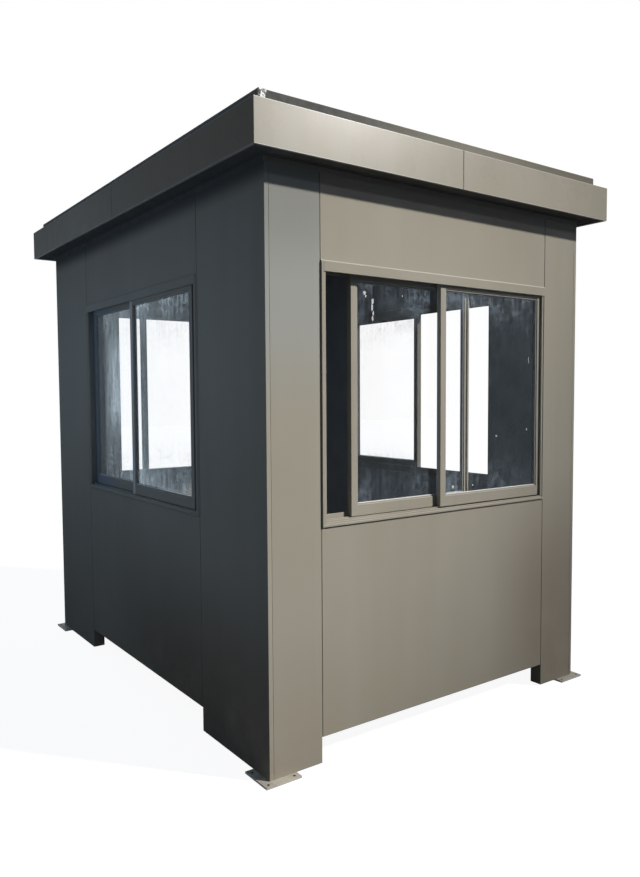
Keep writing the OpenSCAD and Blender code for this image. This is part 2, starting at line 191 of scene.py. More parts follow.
# Painted bluish shade in the left window's recess
RECESS_SHADE = (0.19, 0.23, 0.27)
# Painted light on the far stile of the left window's outer sash
PAINTED_LIT_STILE = (0.62, 0.57, 0.49)
LEDGE_DUST = (0.45, 0.42, 0.36)
GLASS_TINT = ((0.74, 0.88, 1.0), (0.68, 0.86, 1.0))
CAKED_DUST = (0.66, 0.60, 0.48)
PRIMER = ((0.40, 0.36, 0.29), (0.50, 0.46, 0.38))
SCUFFED_PRIMER = (0.30, 0.24, 0.17)
RUST = (0.16, 0.085, 0.045)
# Painted shade in the walls of the anchor holes
ANCHOR_HOLE_SHADE = (0.012, 0.010, 0.008)
DARK_PAINT = ((0.034, 0.034, 0.033), (0.048, 0.048, 0.046))
SOFFIT_SHEET = ((0.122, 0.112, 0.096), (0.146, 0.134, 0.115))
# Painted shade on the soffit and trim along the sides
SOFFIT_SIDE_SHADE = (0.040, 0.036, 0.030)
# Painted light on the front trim, which stands in shade
FRONT_TRIM_PAINTED_LIGHT = (0.270, 0.240, 0.190)
FLOOR_SHEET = ((0.055, 0.056, 0.056), (0.115, 0.112, 0.105))
CEILING = ((0.180, 0.187, 0.190), (0.215, 0.223, 0.226))
ROOF_SIDE_DARK = ((0.095, 0.093, 0.086), (0.119, 0.116, 0.107))
ROOF_SIDE_MIDDLE = (0.207, 0.191, 0.154)
ROOF_SIDE_RIGHT = (0.164, 0.150, 0.121)
ROOF_SIDE_LEFT = (0.280, 0.250, 0.200)
ROOF_TOP = ((0.150, 0.142, 0.125), (0.250, 0.232, 0.200))
ROOF_LAP = (0.07, 0.066, 0.060)
SATIN_METAL = ((0.06, 0.058, 0.055), (0.24, 0.23, 0.22))
RUBBER = ((0.110, 0.115, 0.120), (0.190, 0.190, 0.180))
RUBBER_DUST = (0.46, 0.44, 0.40)
FOIL = ((0.16, 0.155, 0.14), (0.74, 0.72, 0.68))
SPLASH = ((0.52, 0.50, 0.46), (0.74, 0.73, 0.70))
FILLER = ((0.120, 0.108, 0.086), (0.165, 0.149, 0.120))
SEAM_FILLER = (0.235, 0.222, 0.190)


# Node graphs

class Graph:
    """Short names for the nodes of one material."""

    def __init__(self, name):
        self.material = bpy.data.materials.new(name)
        self.material.use_nodes = True
        self.tree = self.material.node_tree
        self.shader = self.tree.nodes["Principled BSDF"]
        self.place = self.make("ShaderNodeTexCoord").outputs["Object"]

    def make(self, kind, **settings):
        node = self.tree.nodes.new(kind)
        for key, value in settings.items():
            setattr(node, key, value)
        return node

    def put(self, socket, value):
        if isinstance(value, bpy.types.NodeSocket):
            self.tree.links.new(value, socket)
        elif socket.type == "RGBA":
            socket.default_value = (*value, 1.0)
        else:
            socket.default_value = value

    def math(self, operation, a, b=0.0, clamp=False):
        node = self.make("ShaderNodeMath", operation=operation, use_clamp=clamp)
        self.put(node.inputs[0], a)
        self.put(node.inputs[1], b)
        return node.outputs[0]

    def times(self, *values):
        result = values[0]
        for value in values[1:]:
            result = self.math("MULTIPLY", result, value)
        return result

    def plus(self, *values):
        result = values[0]
        for value in values[1:]:
            result = self.math("ADD", result, value)
        return result

    def mapped(self, stretch, offset):
        node = self.make("ShaderNodeMapping")
        self.put(node.inputs["Vector"], self.place)
        node.inputs["Scale"].default_value = stretch
        node.inputs["Location"].default_value = offset
        return node.outputs["Vector"]

    def noise(self, scale, detail=3.0, rough=0.5, stretch=(1.0, 1.0, 1.0), offset=(0.0, 0.0, 0.0)):
        node = self.make("ShaderNodeTexNoise")
        self.put(node.inputs["Vector"], self.mapped(stretch, offset))
        node.inputs["Scale"].default_value = scale
        node.inputs["Detail"].default_value = detail
        node.inputs["Roughness"].default_value = rough
        return node.outputs["Fac"]

    def cells(self, scale, stretch=(1.0, 1.0, 1.0)):
        node = self.make("ShaderNodeTexVoronoi")
        self.put(node.inputs["Vector"], self.mapped(stretch, (0.0, 0.0, 0.0)))
        node.inputs["Scale"].default_value = scale
        return node.outputs["Distance"]

    def ramp(self, value, low, high, out_low=0.0, out_high=1.0):
        node = self.make("ShaderNodeMapRange", interpolation_type="SMOOTHSTEP")
        self.put(node.inputs["Value"], value)
        node.inputs["From Min"].default_value = low
        node.inputs["From Max"].default_value = high
        node.inputs["To Min"].default_value = out_low
        node.inputs["To Max"].default_value = out_high
        return node.outputs["Result"]

    def blend(self, factor, a, b):
        node = self.make("ShaderNodeMix", data_type="RGBA")
        self.put(node.inputs["Factor"], factor)
        colours = [socket for socket in node.inputs if socket.type == "RGBA"]
        for socket, colour in zip(colours, (a, b)):
            self.put(socket, colour)
        return next(socket for socket in node.outputs if socket.type == "RGBA")

    def axes(self):
        node = self.make("ShaderNodeSeparateXYZ")
        self.put(node.inputs[0], self.place)
        return node.outputs["X"], node.outputs["Y"], node.outputs["Z"]

    def bump(self, height, distance, strength, under=None):
        node = self.make("ShaderNodeBump")
        self.put(node.inputs["Height"], height)
        node.inputs["Distance"].default_value = distance
        node.inputs["Strength"].default_value = strength
        if under is not None:
            self.put(node.inputs["Normal"], under)
        return node.outputs["Normal"]

    def set(self, **values):
        names = {"colour": "Base Color", "roughness": "Roughness", "metallic": "Metallic",
                 "normal": "Normal", "alpha": "Alpha", "specular": "Specular IOR Level"}
        for key, value in values.items():
            self.put(self.shader.inputs[names[key]], value)
        return self.material


def below(g, value, limit):
    """1 where a value is under its limit, or else 0."""
    return g.math("LESS_THAN", value, limit)


def above(g, value, limit):
    """1 where a value is over its limit, or else 0."""
    return g.math("GREATER_THAN", value, limit)


def facing(g, axis):
    """How far a face looks along an axis: 1 along it, 0 across it, -1 the other way."""
    node = g.make("ShaderNodeSeparateXYZ")
    g.put(node.inputs[0], g.make("ShaderNodeNewGeometry").outputs["True Normal"])
    return node.outputs[axis]


def inside_room(g):
    """1 within the room, 0 outside it."""
    x, y, _ = g.axes()
    in_x = below(g, g.math("ABSOLUTE", x), room_x + TINY)
    in_y = below(g, g.math("ABSOLUTE", y), room_y + TINY)
    return g.times(in_x, in_y)


def cladding_material(name, smooth, dull, flakes):
    """Taupe metallic coating on flat sheet: painted shade under the side eaves, low on the sides and at the
    front's lower right, dust with a painted ground reflection low down, a painted sky reflection on the
    near column, painted highlights on the corner strips and fascia rims, grey in the room.
    """
    g = Graph(name)
    x, y, z = g.axes()
    cloud = g.noise(1.1)
    film = g.noise(1.0, 2.0, stretch=(9.0, 9.0, 0.7))
    flake = g.noise(1500.0, 1.0)
    smudge = g.noise(5.0, 6.0, 0.62, offset=(3.1, 1.7, 0.4))
    base = g.blend(g.ramp(cloud, 0.30, 0.72), *TAUPE)
    base = g.blend(g.ramp(film, 0.35, 0.75, 0.0, 0.30), base, TAUPE_STREAK)
    base = g.blend(g.ramp(flake, 0.55, 0.80, 0.0, 0.20), base, TAUPE_FLAKE)
    # Painted highlight: the corner strips lighter
    strip_highlight = g.times(above(g, g.math("ABSOLUTE", x), wall_x - CORNER_STRIP),
                    above(g, g.math("ABSOLUTE", y), wall_y - TINY), below(g, z, cad_high.z - STRIP_DROP))
    base = g.blend(g.times(strip_highlight, 0.15), base, CORNER_STRIP_HIGHLIGHT)
    on_wall = g.times(below(g, g.math("ABSOLUTE", x), wall_x + TINY),
                      below(g, g.math("ABSOLUTE", y), wall_y + TINY))
    at_front = g.times(below(g, facing(g, "Y"), -MOSTLY), below(g, y, 0.0))
    elsewhere = g.math("SUBTRACT", 1.0, at_front)
    # Painted shade under the eaves of the side and rear walls
    side_eaves_shade = g.times(on_wall, elsewhere, g.ramp(z, *EAVES_SHADE, 0.0, 0.93))
    base = g.blend(side_eaves_shade, base, EAVES_PAINTED_SHADE)
    # Painted sky reflection: bluish on the near column's upper part, darker near the top
    reflection_tone = g.blend(g.ramp(z, *REFLECTION_DARKENS), *COLUMN_SKY_REFLECTION)
    reflection_place = g.times(at_front, below(g, x, column_high.x), g.ramp(z, *REFLECTION_RISE, 0.0, 0.60))
    base = g.blend(g.times(on_wall, reflection_place), base, reflection_tone)
    fascia_low, fascia_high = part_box("fascia_front")
    on_fascia = above(g, z, fascia_low.z - TINY)
    # Painted shade: darker low on the side and rear walls and side fascias, more towards the front, and at
    # the front's lower right
    height = g.plus(g.ramp(z, *SIDE_SHADE_FALL, 0.0, 0.62), g.times(on_fascia, 0.38))
    side_low_shade = g.times(elsewhere, height, g.ramp(y, *SIDE_SHADE_NEAR))
    front_low_shade = g.times(at_front, g.ramp(z, *FRONT_SHADE_FALL, 0.0, 0.34), g.ramp(x, *FRONT_SHADE_RIGHT))
    base = g.blend(g.plus(side_low_shade, front_low_shade), base, LOW_PAINTED_SHADE)
    # Painted highlight along the fascia's top and bottom rims
    rim = g.plus(below(g, g.math("ABSOLUTE", g.math("SUBTRACT", z, fascia_low.z)), RIM),
                 above(g, z, fascia_high.z - RIM))
    base = g.blend(g.times(rim, 0.6), base, RIM_HIGHLIGHT)
    # Dust low down, in a colour that also stands for a painted ground reflection
    dust = g.times(g.ramp(z, *DUST_AND_REFLECTION_FALL), g.ramp(smudge, 0.35, 0.75, 0.15, 0.75))
    outer = g.blend(dust, base, WALL_DUST_AND_REFLECTION)
    mottle = g.noise(6.0, 3.0, 0.5)
    lining = g.blend(g.ramp(mottle, 0.30, 0.70), *WALL_LINING)
    inner = inside_room(g)
    rough = g.plus(g.ramp(smudge, 0.30, 0.75, smooth, dull), g.times(inner, 0.15))
    wave = g.noise(2.2, 2.0, offset=(7.0, 2.0, 5.0))
    normal = g.bump(flake, 0.00004, 0.35, g.bump(wave, 0.0016, 0.25))
    return g.set(colour=g.blend(inner, outer, lining), roughness=rough, normal=normal,
                 specular=0.0, metallic=flakes)


def window_metal_material():
    """Taupe powder coat on aluminium: fine grain, rub marks, dusty ledges, painted shade in the left
    window's recess and painted light on its far stile.
    """
    g = Graph("window_metal")
    x, y, z = g.axes()
    grain = g.noise(700.0, 2.0)
    rub = g.noise(14.0, 5.0, 0.6, stretch=(1.0, 1.0, 0.25))
    cloud = g.noise(2.4)
    base = g.blend(g.ramp(cloud, 0.3, 0.7), *POWDER_COAT)
    base = g.blend(g.ramp(rub, 0.56, 0.78, 0.0, 0.30), base, RUB_MARK)
    # Painted shade: darker and bluer in the left window's recess, towards its far end
    recess = g.times(g.ramp(x, *RECESS_IN), below(g, x, TINY - room_x), g.ramp(y, *RECESS_FAR))
    base = g.blend(g.times(recess, 0.6), base, RECESS_SHADE)
    # Painted light: the far stile of the left window's outer sash lighter
    low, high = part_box("left_outer_sash")
    lit_stile = g.times(above(g, x, low.x - TINY), below(g, x, high.x + TINY), above(g, z, low.z - TINY),
                    above(g, y, high.y - SASH_STILE), below(g, y, high.y + TINY))
    base = g.blend(g.times(lit_stile, 0.7), base, PAINTED_LIT_STILE)
    base = g.blend(g.times(above(g, facing(g, "Z"), MOSTLY), 0.40), base, LEDGE_DUST)
    return g.set(colour=base, roughness=g.ramp(rub, 0.3, 0.7, 0.36, 0.50),
                 normal=g.bump(grain, 0.00006, 0.4), specular=0.0, metallic=0.015)


def glass_material():
    """Clear pane: a faint mirror, stronger at a slant, with dust, runs and specks, most at the left."""
    g = Graph("glass")
    slant = g.make("ShaderNodeLayerWeight").outputs["Facing"]
    x, y, z = g.axes()
    wipe = g.noise(4.5, 4.0, 0.6)
    runs = g.noise(130.0, 4.0, 0.65, stretch=(1.0, 0.35, 0.05))
    smear = g.noise(34.0, 8.0, 0.75, offset=(1.3, 0.2, 4.4))
    swirl = g.math("SUBTRACT", g.noise(11.0, 2.0, 0.5, offset=(0.7, 3.1, 1.9)), 0.5)
    speck = g.cells(46.0)
    window_low, window_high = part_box("front_window_frame")
    middle = (window_low.z + window_high.z) / 2
    ends = g.ramp(g.math("ABSOLUTE", g.math("SUBTRACT", z, middle)), *PANE_ENDS, 0.14, 1.0)
    dust = g.plus(g.ramp(runs, 0.44, 0.70, 0.0, 0.11), g.ramp(smear, 0.47, 0.64, 0.0, 0.10),
                  g.ramp(g.math("ABSOLUTE", swirl), 0.014, 0.003, 0.0, 0.07))
    dust = g.times(dust, ends, g.ramp(wipe, 0.36, 0.62, 0.25, 1.0), g.ramp(slant, 0.35, 0.70, 0.85, 1.6))
    dust = g.plus(dust, g.ramp(speck, 0.055, 0.03, 0.0, 0.06))
    streak = g.noise(55.0, 6.0, 0.7, stretch=(1.0, 1.0, 0.12), offset=(5.3, 0.9, 2.2))
    grain = g.noise(75.0, 3.0, 0.7, stretch=(1.0, 0.6, 1.0))
    at_left = below(g, x, -room_x)
    far = g.ramp(y, *PANE_FAR)
    smeared = g.times(g.ramp(y, *SMEAR_EDGE), g.ramp(y, *SMEAR_NEAR, 0.0, 2.0),
                      g.ramp(z, *SMEAR_RISE), g.ramp(z, *SMEAR_TOP))
    splashed = g.times(g.math("SUBTRACT", 1.0, far), g.ramp(z, *SPLASHED_FALL, 0.0, 0.4))
    clean_foot = g.times(far, g.ramp(z, *CLEAN_FALL, 0.0, 0.42))
    veil = g.plus(1.0, g.times(at_left, g.math("SUBTRACT", g.plus(smeared, splashed), clean_foot)))
    veil = g.times(veil, g.ramp(streak, 0.35, 0.65, 0.55, 1.45), g.ramp(grain, 0.35, 0.65, 0.65, 1.35),
                   g.ramp(y, *VEIL_NEAR, 0.70, 1.0))
    mirror = g.times(slant, slant, slant, slant, slant, slant, 1.1, veil)
    _, pane_end = pane_box("left_inner_sash")
    caked = g.times(at_left, g.ramp(y, pane_end.y - CAKED[0], pane_end.y - CAKED[1]))
    alpha = g.math("ADD", g.plus(mirror, dust, g.times(caked, 0.32)), 0.005, clamp=True)
    tint = g.blend(at_left, *GLASS_TINT)
    tint = g.blend(caked, tint, CAKED_DUST)
    return g.set(colour=tint, roughness=g.ramp(wipe, 0.4, 0.75, 0.06, 0.22), alpha=alpha,
                 metallic=g.math("SUBTRACT", 1.0, caked))


def base_plate_material():
    """Pale primer on steel plate, scuffed and rusty in places, with painted shade in the anchor holes."""
    g = Graph("base_plate")
    x, y, _ = g.axes()
    scuff = g.noise(34.0, 6.0, 0.66)
    base = g.blend(g.ramp(g.noise(9.0), 0.3, 0.7), *PRIMER)
    base = g.blend(g.ramp(scuff, 0.57, 0.70, 0.0, 0.55), base, SCUFFED_PRIMER)
    base = g.blend(g.ramp(scuff, 0.70, 0.80, 0.0, 0.6), base, RUST)
    # Painted shade: the upright walls of the anchor holes near black
    low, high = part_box("base_plate_rear_right")
    edge = 0.001
    far_x = g.math("ABSOLUTE", x)
    far_y = g.math("ABSOLUTE", y)
    within = g.times(above(g, far_x, low.x + edge), below(g, far_x, high.x - edge),
                     above(g, far_y, low.y + edge), below(g, far_y, high.y - edge))
    upright = below(g, g.math("ABSOLUTE", facing(g, "Z")), MOSTLY)
    base = g.blend(g.times(within, upright), base, ANCHOR_HOLE_SHADE)
    return g.set(colour=base, roughness=g.ramp(scuff, 0.3, 0.8, 0.45, 0.75),
                 normal=g.bump(scuff, 0.0005, 0.5), specular=0.3)


def dark_steel_material():
    """Dark paint on the frames in the roof and under the floor."""
    g = Graph("dark_steel")
    mottle = g.noise(11.0, 5.0, 0.6)
    base = g.blend(g.ramp(mottle, 0.3, 0.72), *DARK_PAINT)
    return g.set(colour=base, roughness=g.ramp(mottle, 0.3, 0.7, 0.55, 0.75),
                 normal=g.bump(g.noise(420.0, 2.0), 0.0001, 0.4), specular=0.0)


def soffit_material():
    """Dull taupe sheet under the eaves, with painted shade along the sides and painted light on the trim
    along the front.
    """
    g = Graph("soffit")
    x, y, z = g.axes()
    mottle = g.noise(11.0, 5.0, 0.6)
    base = g.blend(g.ramp(mottle, 0.3, 0.72), *SOFFIT_SHEET)
    # Painted shade: the soffit and trim along the sides darker
    at_side = above(g, g.math("ABSOLUTE", x), wall_x)
    base = g.blend(g.times(at_side, 0.25), base, SOFFIT_SIDE_SHADE)
    # Painted light: the trim's face along the front lighter, though it stands in shade
    low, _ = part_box("soffit")
    at_front = g.times(below(g, y, -wall_y), below(g, z, low.z - TRIM_DROP))
    base = g.blend(at_front, base, FRONT_TRIM_PAINTED_LIGHT)
    return g.set(colour=base, roughness=g.ramp(mottle, 0.3, 0.7, 0.6, 0.8),
                 normal=g.bump(mottle, 0.0004, 0.3), specular=0.0)


def floor_sheet_material():
    """Dark floor sheet with small pips, worn paler where feet go."""
    g = Graph("floor_sheet")
    x, y, _ = g.axes()
    mottle = g.noise(7.0, 6.0, 0.65)
    reach = g.plus(g.math("ABSOLUTE", x), g.math("ABSOLUTE", y))
    worn = g.times(g.ramp(reach, *FLOOR_WORN), g.ramp(mottle, 0.35, 0.7))
    base = g.blend(worn, *FLOOR_SHEET)
    pips = g.ramp(g.cells(38.0), 0.45, 0.30)
    return g.set(colour=base, roughness=g.ramp(mottle, 0.3, 0.7, 0.5, 0.8),
                 normal=g.bump(pips, 0.0012, 0.6), specular=0.3)


def lining_material():
    """Blue-grey sheet of the ceiling."""
    g = Graph("lining")
    mottle = g.noise(6.0, 3.0, 0.5)
    base = g.blend(g.ramp(mottle, 0.3, 0.7), *CEILING)
    return g.set(colour=base, roughness=g.ramp(mottle, 0.3, 0.7, 0.5, 0.62),
                 normal=g.bump(mottle, 0.0006, 0.3), specular=0.3)


def roof_sheet_material():
    """Coated roof sheet with lap joints every metre, dust and dried puddles on top, sides dark at the left
    and paler towards the right, with the left end's face paler still.
    """
    g = Graph("roof_sheet")
    x, y, z = g.axes()
    stain = g.noise(2.4, 6.0, 0.6)
    fine = g.noise(30.0, 5.0, 0.6)
    cap_low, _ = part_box("roof_cap")
    side_dark_tone = g.blend(g.ramp(fine, 0.35, 0.7), *ROOF_SIDE_DARK)
    side = g.blend(g.ramp(x, *ROOF_EDGE_LEFT), side_dark_tone, ROOF_SIDE_MIDDLE)
    side = g.blend(g.ramp(x, *ROOF_EDGE_RIGHT), side, ROOF_SIDE_RIGHT)
    side = g.blend(below(g, x, cap_low.x + RIM), side, ROOF_SIDE_LEFT)
    top = g.blend(g.ramp(stain, 0.38, 0.66), *ROOF_TOP)
    on_top = above(g, z, cad_high.z - TINY)
    lap = g.ramp(g.math("PINGPONG", g.plus(y, HALF_SHEET), HALF_SHEET), *LAP_EDGE)
    colour = g.blend(on_top, side, top)
    colour = g.blend(g.times(lap, on_top), colour, ROOF_LAP)
    normal = g.bump(lap, 0.002, 0.6, g.bump(stain, 0.001, 0.3))
    return g.set(colour=colour, roughness=g.ramp(stain, 0.3, 0.7, 0.48, 0.7), normal=normal, specular=0.0)


def hardware_material():
    """Dark satin metal, rubbed bright in places."""
    g = Graph("hardware")
    rub = g.noise(40.0, 5.0, 0.65)
    base = g.blend(g.ramp(rub, 0.55, 0.75, 0.0, 0.6), *SATIN_METAL)
    return g.set(colour=base, roughness=g.ramp(rub, 0.3, 0.7, 0.28, 0.45), metallic=0.6,
                 normal=g.bump(rub, 0.0002, 0.3))


def rubber_material():
    """Grey glazing rubber, dusty on its lower lips."""
    g = Graph("rubber")
    dusty = g.noise(60.0, 4.0, 0.6)
    base = g.blend(g.ramp(dusty, 0.40, 0.75, 0.0, 0.7), *RUBBER)
    base = g.blend(g.times(above(g, facing(g, "Z"), PARTLY), 0.85), base, RUBBER_DUST)
    return g.set(colour=base, roughness=g.ramp(dusty, 0.3, 0.7, 0.55, 0.8), specular=0.3,
                 normal=g.bump(dusty, 0.0002, 0.4))


def foil_material():
    """Torn pale foil and foam of the roof panel's core."""
    g = Graph("panel_core")
    crease = g.noise(75.0, 2.0, 0.5)
    base = g.blend(g.ramp(crease, 0.40, 0.56), *FOIL)
    return g.set(colour=base, roughness=g.ramp(crease, 0.3, 0.7, 0.35, 0.7),
                 normal=g.bump(crease, 0.002, 0.8))


def splash_material():
    """Dried pale splashes on the panes, thin and broken."""
    g = Graph("splash")
    grain = g.noise(520.0, 3.0, 0.6)
    base = g.blend(g.ramp(grain, 0.4, 0.7), *SPLASH)
    return g.set(colour=base, roughness=g.ramp(grain, 0.3, 0.7, 0.6, 0.85), specular=0.3,
                 alpha=g.ramp(grain, 0.36, 0.56, 0.12, 0.95))


def joint_filler_material():
    """Grey-brown filler in the joints between wall pieces, paler in the fascia's seams."""
    g = Graph("joint_filler")
    _, _, z = g.axes()
    grain = g.noise(90.0, 4.0, 0.6)
    base = g.blend(g.ramp(grain, 0.3, 0.7), *FILLER)
    low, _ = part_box("fascia_front")
    base = g.blend(above(g, z, low.z), base, SEAM_FILLER)
    return g.set(colour=base, roughness=g.ramp(grain, 0.3, 0.7, 0.6, 0.8), specular=0.1,
                 normal=g.bump(grain, 0.0002, 0.4))


# Shapes

def new_piece(name, bm, material, body="booth"):
    """Turns bm into a piece with one material that rides on a body."""
    bmesh.ops.recalc_face_normals(bm, faces=bm.faces[:])
    mesh = bpy.data.meshes.new(name)
    bm.to_mesh(mesh)
    bm.free()
    mesh.materials.append(material)
    piece = bpy.data.objects.new(name, mesh)
    bpy.context.scene.collection.objects.link(piece)
    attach(piece, body)
    return piece


def add_ring(bm, corners, outs, up, profile):
    """Adds a closed ring to bm: the profile's (out, up) points follow the corners with mitres."""
    loops = []
    for corner, out in zip(corners, outs):
        loops.append([bm.verts.new(corner + out * p[0] + up * p[1]) for p in profile])
    count = len(profile)
    for i, loop in enumerate(loops):
        after = loops[(i + 1) % len(loops)]
        for j in range(count):
            k = (j + 1) % count
            bm.faces.new((loop[j], loop[k], after[k], after[j]))


def rectangle(centre, right, up, half_w, half_h):
    """Corners of a rectangle and the mitred outward direction at each."""
    signs = ((-1, -1), (1, -1), (1, 1), (-1, 1))
    corners = [centre + right * (sx * half_w) + up * (sy * half_h) for sx, sy in signs]
    outs = [right * sx + up * sy for sx, sy in signs]
    return corners, outs


def add_seal(bm, centre, right, half_w, half_h, normal, depth):
    """Rubber lip that fills the corner between a pane and what holds it, on one side of the pane."""
    lip = 0.0028
    corners, outs = rectangle(centre, right, Z, half_w, half_h)
    profile = [(TINY, TINY), (-lip, TINY), (-lip * 0.9, depth * 0.45),
               (-lip * 0.35, depth * 0.9), (TINY, depth)]
    add_ring(bm, corners, outs, normal, profile)


def add_seals(bm, low, high, depth):
    """Seals on both sides of a pane that fills the box from low to high."""
    size = high - low
    normal, right = (X, Y) if size.x < size.y else (Y, X)
    centre = (low + high) / 2
    for side in (-1, 1):
        face = centre + normal * (side * size.dot(normal) / 2)
        add_seal(bm, face, right, size.dot(right) / 2, size.z / 2, normal * side, depth)


def pane_box(sash):
    """Box of the pane in a sash."""
    low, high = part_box(sash)
    size = high - low
    normal, right = (X, Y) if size.x < size.y else (Y, X)
    side = right * (SASH_STILE + BEAD_W) + normal * ((size.dot(normal) - PANE_T) / 2)
    return low + side + Z * (SASH_BOTTOM + BEAD_W), high - side - Z * (SASH_TOP + BEAD_W)


def window_seals(side, material):
    """Glazing rubber of a window's two panes."""
    bm = bmesh.new()
    for sash in (f"{side}_outer_sash", f"{side}_inner_sash"):
        low, high = pane_box(sash)
        add_seals(bm, low, high, (SASH_T - PANE_T) / 2 - BEAD_DROP)
    new_piece(f"{side}_window_seals", bm, material)


def door_seals(material):
    """Rubber round the door's pane."""
    bm = bmesh.new()
    low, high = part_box("door_glass")
    add_seals(bm, low, high, DOOR_SEAL_DEPTH)
    new_piece("door_glass_seals", bm, material, "door")


def soffit_trim(material):
    """Angle trim that closes the corner between the walls and the soffit."""
    leg = 0.016
    drop = 0.025
    sheet = 0.0016
    low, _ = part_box("soffit")
    corners, outs = rectangle(Vector((0, 0, low.z)), X, Y, wall_x, wall_y)
    profile = [(TINY, -TINY), (leg, -TINY), (leg, -sheet), (sheet, -sheet), (sheet, -drop), (TINY, -drop)]
    bm = bmesh.new()
    add_ring(bm, corners, outs, Z, profile)
    new_piece("soffit_trim", bm, material)


def add_block(bm, low, high):
    """Adds a closed box to bm."""
    verts = [bm.verts.new((x, y, z))
             for z in (low.z, high.z) for y in (low.y, high.y) for x in (low.x, high.x)]
    for face in ((0, 1, 3, 2), (4, 5, 7, 6), (0, 1, 5, 4), (2, 3, 7, 6), (0, 2, 6, 4), (1, 3, 7, 5)):
        bm.faces.new([verts[i] for i in face])


def joint_filler(material):
    """Filler in the upright grooves at both edges of every wall panel and in the fascia's seams."""
    side_gap = 0.0003
    recess = 0.27
    bm = bmesh.new()
    for name in NODES:
        is_fascia = name.startswith("fascia")
        if not is_fascia and (not name.endswith("_panel") or name == "door_panel"):
            continue
        low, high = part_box(name)
        size = high - low
        normal, right = (X, Y) if size.x < size.y else (Y, X)
        outward = normal if (low + high).dot(normal) > 0 else -normal
        face = (high if outward.dot(normal) > 0 else low).dot(normal)
        width, depth = (SEAM_W, SEAM_DEPTH) if is_fascia else (JOINT_W, JOINT_DEPTH)
        middle = (low + high).dot(right) / 2
        edges = (middle - width / 2,) if is_fascia else (low.dot(right), high.dot(right) - width)
        for edge in edges:
            near = right * (edge + side_gap) + normal * face - outward * (depth * recess)
            far = right * (edge + width - side_gap) + normal * face - outward * (depth - TINY)
            add_block(bm, near + Z * (low.z + TINY), far + Z * (high.z - TINY))
    new_piece("joint_filler", bm, material)


def add_bead(bm, start, end, out, away):
    """Three-sided bead from start to end in the corner between a wall and the edge of a frame."""
    leg = 0.0072
    profile = ((TINY, TINY), (leg, TINY), (TINY, leg))
    rims = []
    for spot in (start, end):
        rims.append([bm.verts.new(spot + out * a + away * b) for a, b in profile])
    for i in range(3):
        k = (i + 1) % 3
        bm.faces.new((rims[0][i], rims[0][k], rims[1][k], rims[1][i]))
    for rim in rims:
        bm.faces.new(rim)


def window_trim(material):
    """Strips that make the window heads flush, and sealing beads: front head, side windows' jambs."""
    bm = bmesh.new()
    sides = (("front", -Y, X, wall_y), ("left", -X, Y, wall_x), ("right", X, Y, wall_x))
    for name, out, right, wall in sides:
        low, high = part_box(f"{name}_window_frame")
        left_end = right * (low.dot(right) + JOINT_W)
        right_end = right * (high.dot(right) - JOINT_W)
        foot = out * wall + Z * (low.z + JOINT_W)
        head = out * wall + Z * (high.z - JOINT_W)
        if name == "front":
            add_bead(bm, head + left_end, head + right_end, out, Z)
        else:
            for end, away in ((left_end, -right), (right_end, right)):
                add_bead(bm, foot + end, head + end, out, away)
        inset = right * (FRAME_BAND + TINY)
        top = head - Z * TINY + out * (FRAME_PROUD + TINY)
        bottom = head - Z * (HEAD_FACE - JOINT_W - TINY) + out * (FRAME_PROUD - FRAME_STEP + TINY)
        add_block(bm, bottom + left_end + inset, top + right_end - inset)
    new_piece("window_trim", bm, material)


def torn_corner(material):
    """Crumpled foil and foam at the front left corner of the roof's top panel."""
    low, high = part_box("roof_cap")
    across = 0.036
    height = (high.z - low.z) * 0.98
    steps = 26
    sink = 0.001
    swell = 0.004
    ruffle = 0.006
    jitter = 0.004
    crease_scale = 70.0
    jitter_scale = 60.0
    edge_fade = 5.0
    bm = bmesh.new()
    rows = []
    for j in range(steps + 1):
        row = []
        for i in range(steps + 1):
            u = i / steps
            v = j / steps
            lift = min(1.0, edge_fade * min(u, 1 - u, v, 1 - v))
            reach = across * (0.6 + 0.4 * v)
            spot = Vector((low.x + u * reach, low.y, low.z + v * height))
            crease = noise.fractal(spot * crease_scale, 0.6, 2.1, 2, noise_basis="PERLIN_ORIGINAL")
            spot.y -= sink + (swell + ruffle * abs(crease)) * lift
            spot.x += jitter * noise.noise(spot * jitter_scale) * lift
            row.append(bm.verts.new(spot))
        rows.append(row)
    back = [[bm.verts.new(Vector((v.co.x, low.y + sink, v.co.z))) for v in row] for row in rows]
    for j in range(steps):
        for i in range(steps):
            bm.faces.new((rows[j][i], rows[j][i + 1], rows[j + 1][i + 1], rows[j + 1][i]))
            bm.faces.new((back[j][i], back[j + 1][i], back[j + 1][i + 1], back[j][i + 1]))
    for k in range(steps):
        bm.faces.new((rows[0][k], back[0][k], back[0][k + 1], rows[0][k + 1]))
        bm.faces.new((rows[steps][k], rows[steps][k + 1], back[steps][k + 1], back[steps][k]))
        bm.faces.new((rows[k][0], rows[k + 1][0], back[k + 1][0], back[k][0]))
        bm.faces.new((rows[k][steps], back[k][steps], back[k + 1][steps], rows[k + 1][steps]))
    piece = new_piece("torn_roof_corner", bm, material)
    for polygon in piece.data.polygons:
        polygon.use_smooth = True


